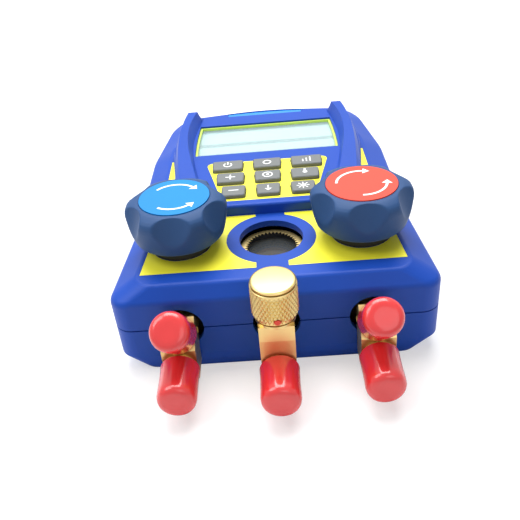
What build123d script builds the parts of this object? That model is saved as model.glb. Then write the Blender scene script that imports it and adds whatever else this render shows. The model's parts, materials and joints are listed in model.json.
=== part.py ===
from build123d import *
import math
import os

# Digital refrigerant manifold gauge lying on its back. Millimetres, +Z up, the ports point to -Y.
# The origin is on the base, in the middle of the case's length. Names that end in "_y" are
# distances behind the front wall unless they say otherwise.

# Cutters
beyond = 200.0               # reaches past the whole case
overrun = 1.0                # how far a cutter passes the face that it cuts

# Case
case_length = 165.0
front_half = 59.4            # half of the width at the front corners
waist_half = 55.6            # half of the width of the straight stretch
waist_y = 46.0               # the straight stretch begins here
taper_y = 112.0              # and ends here
hip_half = 50.5
hip_y = 150.0
heel_half = 45.0
heel_set_back = 2.5          # how far the rear corners lie short of the rear edge's middle
corner_radius = 7.0
waist_radius = 80.0
taper_radius = 60.0
hip_radius = 26.0
heel_radius = 12.0
rear_radius = 300.0
wall = 2.5
deck_z = 36.0                # top of the flat deck that carries the knobs
shoulder_z = 30.7            # the sloping shoulder begins here
shoulder_width = 9.6
front_round = 4.0            # how far the deck's front edge lies behind the front wall
base_chamfer = 6.5
base_front_chamfer = 1.0
chamfer_share = 0.4          # how much of the wall's depth the sloping faces take up
shoulder_share = 0.6
crease_round = 2.0
shoulder_round = 3.0
parting_z = 19.0
parting_gap = 0.5            # shadow line between the two halves
tongue_height = 1.6
tongue_thickness = 1.0
tongue_clearance = 0.15

# Display housing on the upper half
housing_front_y = 47.5
panel_z = 40.5
housing_front_half = 38.5
housing_mid_half = 41.2
housing_mid_y = 83.5
housing_wide_half = 43.8
housing_wide_y = 103.0
housing_late_half = 43.2
housing_late_y = 124.0
housing_end_half = 38.5
housing_end_y = 141.5
housing_far_y = 147.0
housing_radius = 8.0
housing_far_radius = 110.0
housing_edge_round = 1.2

# Side rails: distance behind the front wall, foot, inner crest, outer crest, outer foot, height
rail_stations = [
    (52.0, 28.0, 29.0, 36.6, 38.2, 0.3),
    (77.0, 30.6, 31.9, 38.7, 40.2, 1.7),
    (94.0, 33.5, 35.2, 40.4, 42.0, 2.9),
    (122.0, 33.9, 36.8, 40.6, 42.2, 4.5),
    (136.5, 32.0, 34.0, 38.6, 40.0, 5.3),
]
rail_tip = (140.5, 31.6, 33.8, 37.0, 38.0, 0.4)
rail_root = 1.0              # how far the rails reach down into the panel

# Films and trim
film = 0.3
film_clearance = 0.1
deck_film_front_y = 10.5
deck_film_inset = 0.3        # bare margin inside the shoulder's crease
deck_film_centre_gap = 5.8   # half of the bare strip at the middle
deck_film_end_y = 100.5
housing_margin = 0.5
sight_ring_half = 17.0       # bare ring around the sight glass
keypad_film_far_half = 27.2
keypad_film_far_y = 86.5
keypad_film_mid_half = 22.8
keypad_film_mid_y = 68.0
keypad_film_near_half = 19.0
keypad_film_near_y = 51.5
keypad_film_round = 2.5
badge_half = 19.0
badge_y = 142.0
badge_depth = 4.6
badge_bow = 1.0
badge_sink = 0.8

# Keys
key_rows = [(57.5, 14.3, 9.6, 9.6), (69.3, 15.9, 11.6, 10.9), (81.0, 17.3, 13.2, 12.0)]
key_names = [
    ["key_range_down", "key_vacuum", "key_lamp"],
    ["key_range_up", "key_mode", "key_temperature"],
    ["key_power", "key_zero", "key_unit"],
]
key_depth = 8.4
key_taper = 0.5
key_height = 1.6             # above the panel
key_round = 1.0
key_top_chamfer = 0.35
key_clearance = 0.25
key_flange = 0.8
key_flange_thickness = 1.0
key_play = 0.1
key_travel = 0.8

# Display
lcd_near_y = 95.5
lcd_far_y = 129.3
lcd_near_half = 33.0
lcd_far_half = 32.4
lcd_bow = 0.5
lcd_sink = 2.0               # panel to the window's face
lcd_frame_width = 0.9
lcd_frame_height = 1.1
lcd_window_thickness = 1.2
lcd_module_margin = 3.0

# Circuit board
board_z = 31.6               # its upper face
board_thickness = 1.6
board_half = 36.0
board_front_y = 51.0
board_rear_y = 141.0
board_post_inset = 4.0
board_post_r = 3.0
board_screw_top_z = 36.0
mat_margin = 1.5
mat_thickness = 1.4
dome_r = 2.6
dome_top_r = 1.6

# Valves and their knobs
knob_x = 33.9
knob_y = 29.4
knob_r = 18.7
knob_bottom_z = 41.2
knob_rim_z = 44.4
knob_shoulder_z = 51.6
knob_top_z = 56.2
knob_under_r = 15.0
knob_crown_r = 13.6
knob_rim_bevel = 1.4
knob_draft = 0.5             # the grip is this much narrower at its lower and upper edge
knob_shoulder_drop = 2.0     # the crown's slope starts this far inside the grip
knob_edge = 0.3
knob_scallops = 6
knob_scallop_r = 13.0
knob_scallop_depth = 2.2
label_r = 12.9
label_thickness = 0.6
label_sink = 0.3
collar_r = 11.1
collar_top_z = 40.4
collar_clearance = 0.2
stem_r = 3.5
stem_clearance = 0.06
fit_clearance = 0.05
stem_top_z = 51.0
spigot_r = 8.0
spigot_depth = 3.5
seat_disc_r = 5.6
seat_disc_thickness = 2.4
seat_z = 16.6
chamber_clearance = 0.35
knob_screw_head_r = 3.6
knob_screw_head_height = 2.2
knob_screw_r = 1.9
knob_screw_length = 9.0

# Sight glass
sight_y = 29.5
sight_hole_r = 12.1
sight_ring_top_z = 31.8
sight_ring_thickness = 3.0
sight_ring_r = 12.0
sight_teeth = 46
sight_tooth_root_r = 9.35
sight_tooth_tip_r = 8.65
lens_thickness = 2.0
gasket_thickness = 0.8
sight_bore_r = 8.0
sight_boss_r = 14.5

# Manifold block
block_half = 46.0
block_front_y = 10.0
block_rear_y = 43.5
block_bottom_z = 8.0
block_top_z = 26.5
gallery_r = 2.4
gallery_z = 13.0
mount_screw_x = 15.0
mount_screw_edge = 5.0       # from the block's front and rear faces
mount_screw_top_z = 12.0

# Service fittings
side_port_x = 34.5
bar = 12.0                   # square brass section
side_face_y = -11.5
centre_face_y = -15.5
lower_port_z = 11.3
fitting_bottom_z = 5.3
side_fold_z = 18.3
centre_fold_z = 23.8
centre_top_z = 29.5
centre_lean = 0.6            # how far the centre body's upper front leans back
port_hole_r = 8.5
fitting_stem_r = 6.2
fitting_stem_z = 18.0
flare_thread_r = 5.56
flare_bore_r = 2.4
flare_length = 12.5
upright_flare_length = 13.0  # the upright port's tip meets its cap's seal
flare_cone = 2.0
flare_cone_r = 3.9
neck_flange_r = 6.8
neck_flange_height = 1.1
vinyl_r = 7.0
vinyl_length = 16.0
vinyl_end = 1.8
vinyl_round = 2.6
vinyl_clearance = 0.05
side_upper_cap_gap = 2.0     # bare thread between the body's face and the cap
side_lower_cap_gap = 1.6
centre_cap_gap = 0.8

# Knurled cap on the upright port
knurl_r = 8.0
knurl_top_z = 45.3
knurl_height = 14.0
knurl_top_r = 7.4
knurl_chamfer = 0.9
knurl_groove_z = 2.3         # below the cap's top
knurl_groove_width = 0.7
knurl_groove_depth = 0.5
knurl_top_thickness = 1.8
cap_seal_thickness = 1.0
core_r = 2.2
core_length = 9.0
core_pin_r = 0.8
core_pin_length = 3.0
core_pin_travel = 1.5

# Sensors behind the block
pressure_sensor_x = 24.0
pressure_sensor_r = 8.0
pressure_sensor_length = 13.0
vacuum_sensor_r = 5.5
vacuum_sensor_length = 16.0
sensor_pin_r = 0.4
sensor_pin_length = 3.0

# Battery compartment
cell_count = 3
cell_r = 7.1
cell_length = 49.2
cell_pole_r = 2.7
cell_pole_length = 1.2
cell_gap = 0.5
contact_thickness = 0.6
tray_wall = 1.6
tray_height = 9.0
tray_clearance = 0.4
door_half = 23.0
door_front_y = 92.6
door_thickness = 2.2
door_lip = 1.2
door_lip_height = 1.0
door_clearance = 0.25
door_grooves = 5
door_groove_pitch = 2.4
door_groove_depth = 0.5

# Case screws
screw_places = [(51.2, 12.0), (49.8, 72.0), (39.0, 149.0)]
screw_r = 1.5
screw_head_r = 2.8
screw_head_height = 2.0
screw_head_z = 8.0
screw_top_z = 28.0
screw_clearance = 0.15
boss_wall = 1.6

front_y = -case_length / 2
rear_y = case_length / 2


# Helpers

def cylinder(radius, z_low, z_high, x=0.0, y=0.0):
    return Pos(x, y, z_low) * Cylinder(radius, z_high - z_low, align=(Align.CENTER, Align.CENTER, Align.MIN))


def block(x_low, x_high, y_low, y_high, z_low, z_high):
    size = (x_high - x_low, y_high - y_low, z_high - z_low)
    return Pos(x_low, y_low, z_low) * Box(*size, align=(Align.MIN, Align.MIN, Align.MIN))


def rod_along_y(radius, y_low, y_high, x, z):
    plane = Plane(origin=(x, y_low, z), x_dir=(1, 0, 0), z_dir=(0, 1, 0))
    return plane * Cylinder(radius, y_high - y_low, align=(Align.CENTER, Align.CENTER, Align.MIN))


def slab(z_low, z_high):
    return block(-beyond, beyond, -beyond, beyond, z_low, z_high)


def prism(sketch, z_low, z_high):
    return extrude(Pos(0, 0, z_low) * sketch, z_high - z_low)


def turned(profile):
    return revolve(make_face(Plane.XZ * Polyline(*profile, close=True)), Axis.Z)


def mirrored(points):
    return list(points) + [(-x, y) for x, y in reversed(points)]


def behind(distance):
    return front_y + distance


# Case forms

def case_outline(inset, front_inset, rear_inset):
    right = [
        (front_half - inset, front_y + front_inset),
        (waist_half - inset, behind(waist_y)),
        (waist_half - inset, behind(taper_y)),
        (hip_half - inset, behind(hip_y) - rear_inset),
        (heel_half - inset, rear_y - heel_set_back - rear_inset),
    ]
    radii = [corner_radius, waist_radius, taper_radius, hip_radius, heel_radius]
    points = right + [(0, rear_y - rear_inset)] + [(-x, y) for x, y in reversed(right)]
    corners = radii + [rear_radius] + list(reversed(radii))
    return make_face(FilletPolyline(*points, radius=corners, close=True))


def case_form(depth):
    levels = [
        (depth, base_chamfer + chamfer_share * depth, base_front_chamfer + depth, base_chamfer + chamfer_share * depth),
        (base_chamfer + chamfer_share * depth, depth, depth, depth),
        (shoulder_z - shoulder_share * depth, depth, depth, depth),
        (deck_z - depth, shoulder_width + depth, front_round + depth, shoulder_width + depth),
    ]
    return loft([Pos(0, 0, z) * case_outline(side, front, rear) for z, side, front, rear in levels], ruled=True)


def housing_outline(inset):
    right = [
        (housing_front_half - inset, behind(housing_front_y) + inset),
        (housing_mid_half - inset, behind(housing_mid_y)),
        (housing_wide_half - inset, behind(housing_wide_y)),
        (housing_late_half - inset, behind(housing_late_y)),
        (housing_end_half - inset, behind(housing_end_y) - inset),
    ]
    radii = [housing_edge_round, 60.0, 60.0, 30.0, housing_radius]
    points = right + [(0, behind(housing_far_y) - inset)] + [(-x, y) for x, y in reversed(right)]
    corners = radii + [housing_far_radius] + list(reversed(radii))
    return make_face(FilletPolyline(*points, radius=corners, close=True))


def rail_section(side, station):
    distance, foot, crest_in, crest_out, outer, height = station
    plane = Plane(origin=(0, behind(distance), 0), x_dir=(1, 0, 0), z_dir=(0, -1, 0))
    low = panel_z - rail_root
    corners = [(foot, low), (foot, panel_z), (crest_in, panel_z + height),
               (crest_out, panel_z + height), (outer, panel_z), (outer, low)]
    return plane * make_face(Polyline(*[(side * x, z) for x, z in corners], close=True))


def rail(side):
    sections = [rail_section(side, station) for station in rail_stations]
    tip = [rail_section(side, rail_stations[-1]), rail_section(side, rail_tip)]
    return loft(sections) + loft(tip, ruled=True)



# Places that several pieces share

side_holes = [-side_port_x, 0.0, side_port_x]
knob_places = {"low": -knob_x, "high": knob_x}
valve_y = behind(knob_y)
sight_centre_y = behind(sight_y)
key_low_z = panel_z - wall - key_play - key_flange_thickness
mat_dome_z = key_low_z - key_travel - key_play
window_top_z = panel_z - lcd_sink
window_low_z = window_top_z - lcd_window_thickness
lens_top_z = sight_ring_top_z - sight_ring_thickness
lens_low_z = lens_top_z - lens_thickness
gasket_low_z = lens_low_z - gasket_thickness
seat_top_z = seat_z + seat_disc_thickness
opening_half = door_half + door_lip + door_clearance
opening_front = behind(door_front_y) - door_lip - door_clearance
cell_start = opening_front + tray_clearance + contact_thickness
cell_span = cell_length + cell_pole_length
opening_rear = cell_start + cell_span + contact_thickness + tray_clearance
screw_spots = [(side * x, behind(y)) for x, y in screw_places for side in (-1, 1)]
mount_screw_spots = [(side * mount_screw_x, behind(y)) for side in (-1, 1)
                     for y in (block_front_y + mount_screw_edge, block_rear_y - mount_screw_edge)]
post_spots = [(side * (board_half - board_post_inset), y) for side in (-1, 1)
              for y in (behind(board_front_y) + board_post_inset, behind(board_rear_y) - board_post_inset)]


# Flat shapes

def key_shape(row, column, grow=0.0):
    distance, column_x, side_width, middle_width = key_rows[row]
    width = (middle_width if column == 1 else side_width) / 2 + grow
    half_depth = key_depth / 2 + grow
    corners = [(width - key_taper / 2, -half_depth), (width + key_taper / 2, half_depth)]
    outline = make_face(Polyline(*mirrored(corners), close=True))
    outline = fillet(outline.vertices(), key_round + grow / 2)
    return Pos((column - 1) * column_x, behind(distance)) * outline


def keypad_shape(grow=0.0):
    corners = [
        (keypad_film_near_half + grow, behind(keypad_film_near_y) - grow),
        (keypad_film_mid_half + grow, behind(keypad_film_mid_y)),
        (keypad_film_far_half + grow, behind(keypad_film_far_y) + grow),
    ]
    outline = make_face(Polyline(*mirrored(corners), close=True))
    return fillet(outline.vertices(), keypad_film_round)


def lcd_shape(inset=0.0):
    near = (lcd_near_half - inset, behind(lcd_near_y) + inset)
    far = (lcd_far_half - inset, behind(lcd_far_y) - inset)
    middle = ((near[0] + far[0]) / 2 + lcd_bow, (near[1] + far[1]) / 2)
    right = ThreePointArc(near, middle, far)
    left = ThreePointArc(*[(-x, y) for x, y in (far, middle, near)])
    edges = [right, Line(far, (-far[0], far[1])), left, Line((-near[0], near[1]), near)]
    return make_face(edges)


def badge_shape(grow=0.0):
    half = badge_half + grow
    low = behind(badge_y) - badge_depth / 2 - grow
    high = behind(badge_y) + badge_depth / 2 + grow
    far_edge = ThreePointArc((half, high - badge_bow), (0, high), (-half, high - badge_bow))
    sides = Polyline((-half, high - badge_bow), (-half, low), (half, low), (half, high - badge_bow))
    return make_face([far_edge, sides])


def deck_film_shape(side, grow=0.0):
    inset = shoulder_width + crease_round / 2 + deck_film_inset - grow
    low_y = behind(deck_film_front_y) - grow
    high_y = behind(deck_film_end_y) + grow
    band = Pos(0, (low_y + high_y) / 2) * Rectangle(2 * front_half, high_y - low_y)
    near_x = side * (deck_film_centre_gap - grow)
    half_plane = Pos(near_x + side * front_half, 0) * Rectangle(2 * front_half, 2 * case_length)
    shape = case_outline(inset, 0, 0) & band & half_plane
    shape = shape - offset(housing_outline(0), housing_margin - grow)
    shape = shape - Pos(0, sight_centre_y) * Circle(sight_ring_half - grow)
    shape = shape - Pos(side * knob_x, valve_y) * Circle(collar_r + 2 * collar_clearance - grow)
    return shape.faces().sort_by(SortBy.AREA)[-1]


# Case halves

def port_cuts():
    return [rod_along_y(port_hole_r, front_y - overrun, front_y + 2 * wall, x, parting_z) for x in side_holes]


def door_opening():
    lip_low = door_thickness - door_lip_height - door_clearance
    wide = block(-opening_half, opening_half, opening_front, opening_rear, lip_low, wall + 1)
    runout = block(-opening_half, opening_half, opening_front, rear_y, lip_low, door_thickness + door_clearance)
    narrow = block(-door_half - door_clearance, door_half + door_clearance,
                   opening_front + door_lip, rear_y, -1.0, door_thickness)
    return wide + runout + narrow


def tray():
    outside = block(-opening_half - tray_wall, opening_half + tray_wall,
                    opening_front - tray_wall, opening_rear + tray_wall, wall / 2, wall + tray_height)
    return outside - block(-opening_half, opening_half, opening_front, opening_rear, -1, wall + tray_height + 1)


def lower_case():
    below = slab(-beyond, parting_z - parting_gap / 2)
    half = (case_full & below) - case_hollow
    tongue_band = slab(parting_z - parting_gap, parting_z - parting_gap / 2 + tongue_height)
    tongue = (case_form(wall - tongue_thickness) & tongue_band) - case_hollow
    half = half + tongue + tray()
    for x, y in screw_spots:
        boss = cylinder(screw_head_r + screw_clearance + boss_wall, 0, parting_z - parting_gap / 2, x, y)
        half = half + (boss & outer)
    for x, y in mount_screw_spots:
        half = half + cylinder(screw_head_r + screw_clearance + boss_wall, wall / 2, block_bottom_z, x, y)
    for x, y in screw_spots:
        half = half - cylinder(screw_head_r + screw_clearance, -1, screw_head_z + screw_head_height, x, y)
        half = half - cylinder(screw_r + screw_clearance, 0, parting_z, x, y)
    for x, y in mount_screw_spots:
        half = half - cylinder(screw_head_r + screw_clearance, -1, wall + screw_head_height / 2, x, y)
        half = half - cylinder(screw_r + screw_clearance, 0, parting_z, x, y)
    half = half - door_opening()
    for cut in port_cuts():
        half = half - cut
    return half


def upper_case():
    above = slab(parting_z + parting_gap / 2, beyond)
    half = (case_full & above) + housing
    half = half - case_hollow - housing_hollow
    half = half + rail(-1) + rail(1)
    for x, y in screw_spots:
        boss = cylinder(screw_head_r + screw_clearance + boss_wall, parting_z + parting_gap / 2, deck_z, x, y)
        half = half + (boss & case_full)
        half = half - cylinder(screw_r + fit_clearance, parting_z, screw_top_z + 0.5, x, y)
    rebate_top = parting_z - parting_gap / 2 + tongue_height + tongue_clearance
    rebate = case_form(wall - tongue_thickness - tongue_clearance) - case_form(wall + tongue_clearance)
    half = half - (rebate & slab(parting_z, rebate_top))
    for x, y in post_spots:
        half = half + cylinder(board_post_r, board_z, panel_z - wall / 2, x, y)
        half = half - cylinder(screw_r + fit_clearance, board_z, board_screw_top_z + 0.5, x, y)
    for x in knob_places.values():
        half = half - cylinder(collar_r + collar_clearance, parting_z, deck_z + 1, x, valve_y)
    half = half - cylinder(sight_hole_r, parting_z, deck_z + 1, 0, sight_centre_y)
    half = half - prism(lcd_shape(), deck_z, panel_z + 1)
    for row in range(3):
        for column in range(3):
            half = half - prism(key_shape(row, column, key_clearance), deck_z, panel_z + 1)
    half = half - prism(keypad_shape(film_clearance), panel_z - film, panel_z + 1)
    half = half - prism(badge_shape(), panel_z - badge_sink, panel_z + 1)
    for side in (-1, 1):
        half = half - prism(deck_film_shape(side, film_clearance), deck_z - film, deck_z + 1)
    for cut in port_cuts():
        half = half - cut
    return half


# Door and battery

def battery_door():
    wide = block(-door_half - door_lip, door_half + door_lip, behind(door_front_y) - door_lip, rear_y,
                 door_thickness - door_lip_height, door_thickness)
    narrow = block(-door_half, door_half, behind(door_front_y), rear_y, 0, door_thickness)
    door = (wide + narrow) & outer
    groove_y = behind(door_front_y) + 4 * door_groove_pitch
    for number in range(door_grooves):
        y = groove_y + number * door_groove_pitch
        door = door - block(-door_half / 2, door_half / 2, y, y + door_groove_pitch / 2, -1, door_groove_depth)
    return door


def cell_x(number):
    return (number - (cell_count - 1) / 2) * (2 * cell_r + cell_gap)


def cell_z():
    return door_thickness + door_clearance + cell_r


def battery_cells():
    cells = []
    for number in range(cell_count):
        x = cell_x(number)
        start = cell_start
        turned_round = number % 2 == 1
        can_start = start + cell_pole_length if turned_round else start
        can = rod_along_y(cell_r, can_start, can_start + cell_length, x, cell_z())
        pole_start = start if turned_round else start + cell_length
        cells.append(can + rod_along_y(cell_pole_r, pole_start, pole_start + cell_pole_length, x, cell_z()))
    return Compound(children=cells)


def battery_contacts():
    plates = []
    half = cell_r * 0.7
    for number in range(cell_count):
        for y in (cell_start - contact_thickness, cell_start + cell_span):
            x = cell_x(number)
            plates.append(block(x - half, x + half, y, y + contact_thickness, cell_z() - half, cell_z() + half))
    return Compound(children=plates)


# Fasteners

def screw(x, y, head_low, top):
    body = cylinder(screw_head_r, head_low, head_low + screw_head_height, x, y)
    return body + cylinder(screw_r, head_low, top, x, y)


def board_screws():
    head = board_z - board_thickness - screw_head_height
    return Compound(children=[screw(x, y, head, board_screw_top_z) for x, y in post_spots])


def case_screws():
    return Compound(children=[screw(x, y, screw_head_z, screw_top_z) for x, y in screw_spots])


# Display, keypad and electronics

def deck_film(side):
    return prism(deck_film_shape(side), deck_z - film, deck_z)


def keypad_film():
    film_solid = prism(keypad_shape(), panel_z - film, panel_z)
    for row in range(3):
        for column in range(3):
            film_solid = film_solid - prism(key_shape(row, column, key_clearance), deck_z, panel_z + 1)
    return film_solid


def key(row, column):
    cap = prism(key_shape(row, column), key_low_z, panel_z + key_height)
    top = cap.edges().filter_by_position(Axis.Z, panel_z + key_height - 0.01, panel_z + key_height + 0.01)
    cap = chamfer(top, key_top_chamfer)
    return cap + prism(key_shape(row, column, key_flange), key_low_z, key_low_z + key_flange_thickness)


def keypad_mat():
    low_y = behind(key_rows[0][0]) - key_depth / 2 - mat_margin
    high_y = behind(key_rows[2][0]) + key_depth / 2 + mat_margin
    half = key_rows[2][1] + key_rows[2][2] / 2 + mat_margin
    mat = block(-half, half, low_y, high_y, board_z, board_z + mat_thickness)
    dome = Pos(0, 0, board_z + mat_thickness) * Cone(
        dome_r, dome_top_r, mat_dome_z - board_z - mat_thickness, align=(Align.CENTER, Align.CENTER, Align.MIN))
    for row in range(3):
        for column in range(3):
            distance, column_x = key_rows[row][:2]
            mat = mat + Pos((column - 1) * column_x, behind(distance), 0) * dome
    return mat


def lcd_frame():
    ring = lcd_shape(film_clearance) - lcd_shape(film_clearance + lcd_frame_width)
    return prism(ring, window_top_z, window_top_z + lcd_frame_height)


def lcd_window():
    return prism(lcd_shape(film_clearance), window_low_z, window_top_z)


def lcd_module():
    return block(-lcd_near_half - lcd_module_margin, lcd_near_half + lcd_module_margin,
                 behind(lcd_near_y) - lcd_module_margin, behind(lcd_far_y) + lcd_module_margin,
                 board_z, window_low_z)


def badge_plate():
    return prism(badge_shape(-film_clearance), panel_z - badge_sink, panel_z - badge_sink / 2)


def circuit_board():
    board = block(-board_half, board_half, behind(board_front_y), behind(board_rear_y),
                  board_z - board_thickness, board_z)
    for x, y in post_spots:
        board = board - cylinder(screw_r + screw_clearance, 0, 100, x, y)
    return board


# Manifold block, sight glass and sensors

def manifold_block():
    body = block(-block_half, block_half, behind(block_front_y), behind(block_rear_y), block_bottom_z, block_top_z)
    body = body + cylinder(sight_boss_r, block_top_z, lens_top_z, 0, sight_centre_y)
    body = body - cylinder(sight_ring_r + fit_clearance, gasket_low_z, lens_top_z + 1, 0, sight_centre_y)
    body = body - cylinder(sight_bore_r, gallery_z, lens_top_z, 0, sight_centre_y)
    for x in knob_places.values():
        body = body - cylinder(spigot_r + fit_clearance, block_top_z - spigot_depth, 100, x, valve_y)
        body = body - cylinder(seat_disc_r + chamber_clearance, seat_z, 100, x, valve_y)
        body = body - cylinder(gallery_r, gallery_z, seat_z, x, valve_y)
    for x in side_holes:
        body = body - rod_along_y(gallery_r, front_y, sight_centre_y, x, fitting_stem_z - 2)
    tunnel = Plane(origin=(-block_half - 1, sight_centre_y, gallery_z), x_dir=(0, 1, 0), z_dir=(1, 0, 0))
    reach = block_half + 1 + knob_x
    body = body - tunnel * Cylinder(gallery_r, reach, align=(Align.CENTER, Align.CENTER, Align.MIN))
    for x, y in mount_screw_spots:
        body = body - cylinder(screw_r + fit_clearance, 0, mount_screw_top_z + 1, x, y)
    return body


def mount_screws():
    head = wall - screw_head_height / 2
    return Compound(children=[screw(x, y, head, mount_screw_top_z) for x, y in mount_screw_spots])


def sight_ring():
    corners = []
    for tooth in range(sight_teeth):
        for share, radius in ((0.0, sight_tooth_root_r), (0.5, sight_tooth_tip_r)):
            angle = 2 * math.pi * (tooth + share) / sight_teeth
            corners.append((radius * math.cos(angle), radius * math.sin(angle)))
    ring = Circle(sight_ring_r) - make_face(Polyline(*corners, close=True))
    return Pos(0, sight_centre_y, lens_top_z) * extrude(ring, sight_ring_thickness)


def sight_lens():
    return cylinder(sight_ring_r, lens_low_z, lens_top_z, 0, sight_centre_y)


def sight_gasket():
    ring = cylinder(sight_ring_r, gasket_low_z, lens_low_z, 0, sight_centre_y)
    return ring - cylinder(sight_bore_r, 0, 100, 0, sight_centre_y)


def sensor(radius, length, x, z):
    start = behind(block_rear_y)
    body = rod_along_y(radius, start, start + length, x, z)
    body = body + rod_along_y(radius * 0.7, start + length, start + length + 1.5, x, z)
    for shift in (-1, 0, 1):
        pin_x = x + shift * radius * 0.35
        pin_start = start + length + 1.5
        body = body + rod_along_y(sensor_pin_r, pin_start, pin_start + sensor_pin_length, pin_x, z)
    return body


def pressure_sensors():
    middle_z = (block_bottom_z + block_top_z) / 2
    return Compound(children=[
        sensor(pressure_sensor_r, pressure_sensor_length, side * pressure_sensor_x, middle_z) for side in (-1, 1)])


def vacuum_sensor():
    return sensor(vacuum_sensor_r, vacuum_sensor_length, 0, (block_bottom_z + block_top_z) / 2)


# Valves

def valve_bonnet(x):
    body = cylinder(collar_r, block_top_z, collar_top_z, x, valve_y)
    body = body + cylinder(spigot_r, block_top_z - spigot_depth, block_top_z, x, valve_y)
    top = body.edges().filter_by_position(Axis.Z, collar_top_z - 0.01, collar_top_z + 0.01)
    body = fillet(top, 0.8)
    return body - cylinder(stem_r + stem_clearance, 0, 100, x, valve_y)


def valve_seat_disc(x):
    return cylinder(seat_disc_r, seat_z, seat_top_z, x, valve_y)


def valve_stem(x):
    stem = cylinder(stem_r, seat_top_z, stem_top_z, x, valve_y)
    stem = stem - cylinder(knob_screw_r + stem_clearance, stem_top_z - knob_screw_length, 100, x, valve_y)
    return stem


def valve_knob(x):
    profile = [
        (0, knob_bottom_z), (knob_under_r, knob_bottom_z), (knob_r - knob_rim_bevel, knob_rim_z - knob_rim_bevel),
        (knob_r - knob_draft, knob_rim_z + knob_draft), (knob_r, knob_shoulder_z - 2 * knob_draft),
        (knob_r - knob_draft, knob_shoulder_z + knob_draft),
        (knob_r - knob_shoulder_drop, knob_shoulder_z + knob_shoulder_drop), (knob_crown_r, knob_top_z - knob_edge),
        (knob_crown_r - knob_edge, knob_top_z), (0, knob_top_z),
    ]
    knob = turned(profile)
    reach = knob_r + knob_scallop_r - knob_scallop_depth
    for number in range(knob_scallops):
        angle = 2 * math.pi * (number + 0.5) / knob_scallops
        knob = knob - cylinder(knob_scallop_r, 0, 100, reach * math.cos(angle), reach * math.sin(angle))
    knob = knob - cylinder(label_r + film_clearance, knob_top_z - label_sink, 100)
    knob = knob - cylinder(stem_r + fit_clearance, 0, stem_top_z + fit_clearance)
    knob = knob - cylinder(knob_screw_r + fit_clearance, 0, 100)
    head_low = knob_top_z - label_sink - knob_screw_head_height
    knob = knob - cylinder(knob_screw_head_r + fit_clearance, head_low, 100)
    return Pos(x, valve_y, 0) * knob


def knob_label(x):
    return cylinder(label_r, knob_top_z - label_sink, knob_top_z - label_sink + label_thickness, x, valve_y)


def knob_screw(x):
    top = knob_top_z - label_sink
    low = top - knob_screw_head_height
    body = cylinder(knob_screw_head_r, low, top, x, valve_y)
    return body + cylinder(knob_screw_r, stem_top_z - knob_screw_length + 1, low, x, valve_y)


# Service fittings

def flare(length):
    profile = [
        (0, 0), (flare_thread_r, 0), (flare_thread_r, length - flare_cone),
        (flare_cone_r, length), (0, length),
    ]
    return turned(profile)


def port_plane(x, y, z, direction):
    return Plane(origin=(x, y, z), x_dir=(1, 0, 0), z_dir=direction)


def fitting_body(x, side_view):
    plane = Plane(origin=(x - bar / 2, 0, 0), x_dir=(0, 1, 0), z_dir=(1, 0, 0))
    return extrude(plane * make_face(Polyline(*side_view, close=True)), bar)


def bored(body, planes, depth):
    for plane in planes:
        drill = Cylinder(flare_bore_r, upright_flare_length + depth + overrun, align=(Align.CENTER, Align.CENTER, Align.MIN))
        body = body - plane.offset(-depth) * drill
    return body


forward = (0, -1, 0)
slanted = (0, -math.sqrt(0.5), math.sqrt(0.5))
upward = (0, 0, 1)
face_rise = bar * math.sqrt(0.5)
wall_gap = 1.2


def side_planes(x):
    lower = port_plane(x, behind(side_face_y), lower_port_z, forward)
    centre_y = behind(side_face_y) + face_rise / 2
    return lower, port_plane(x, centre_y, side_fold_z + face_rise / 2, slanted)


def centre_planes():
    lower = port_plane(0, behind(centre_face_y), lower_port_z, forward)
    return lower, port_plane(0, behind(centre_face_y) + bar / 2, centre_top_z, upward)


def side_fitting(x):
    front = behind(side_face_y)
    inner_y = front_y + wall_gap
    ridge = (front + face_rise, side_fold_z + face_rise)
    drop = inner_y - ridge[0]
    side_view = [
        (front, fitting_bottom_z), (front, side_fold_z), ridge, (inner_y, ridge[1] - drop),
        (inner_y, parting_z - bar / 2 + 2.5), (front_y - wall_gap, parting_z - bar / 2 - 2),
        (front_y - wall_gap, fitting_bottom_z),
    ]
    body = fitting_body(x, side_view)
    body = body + rod_along_y(fitting_stem_r, front_y, behind(block_front_y), x, fitting_stem_z)
    planes = side_planes(x)
    body = body + planes[0] * flare(flare_length) + planes[1] * flare(flare_length)
    body = bored(body, planes, bar / 2)
    return body - rod_along_y(flare_bore_r, front + bar / 2, behind(block_front_y) + 1, x, fitting_stem_z - 2)


def centre_fitting():
    front = behind(centre_face_y)
    rear = front + bar
    inner_y = front_y + wall_gap
    side_view = [
        (front, fitting_bottom_z), (front, centre_fold_z), (front + centre_lean, centre_top_z), (rear, centre_top_z),
        (rear, parting_z + bar / 2 - 1), (inner_y, parting_z + bar / 2 - 2), (inner_y, parting_z - bar / 2 + 2.5),
        (front_y - wall_gap, parting_z - bar / 2 - 2), (front_y - wall_gap, fitting_bottom_z),
    ]
    body = fitting_body(0, side_view)
    body = body + rod_along_y(fitting_stem_r, front_y, behind(block_front_y), 0, fitting_stem_z)
    lower, upper = centre_planes()
    body = body + lower * flare(flare_length) + upper * flare(upright_flare_length)
    body = body + upper * Cylinder(neck_flange_r, neck_flange_height, align=(Align.CENTER, Align.CENTER, Align.MIN))
    body = bored(body, (lower, upper), bar / 2)
    deep = upper.offset(-(centre_top_z - lower_port_z))
    body = body - deep * Cylinder(flare_bore_r, 20, align=(Align.CENTER, Align.CENTER, Align.MIN))
    return body - rod_along_y(flare_bore_r, front + bar / 2, behind(block_front_y) + 1, 0, fitting_stem_z - 2)


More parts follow.
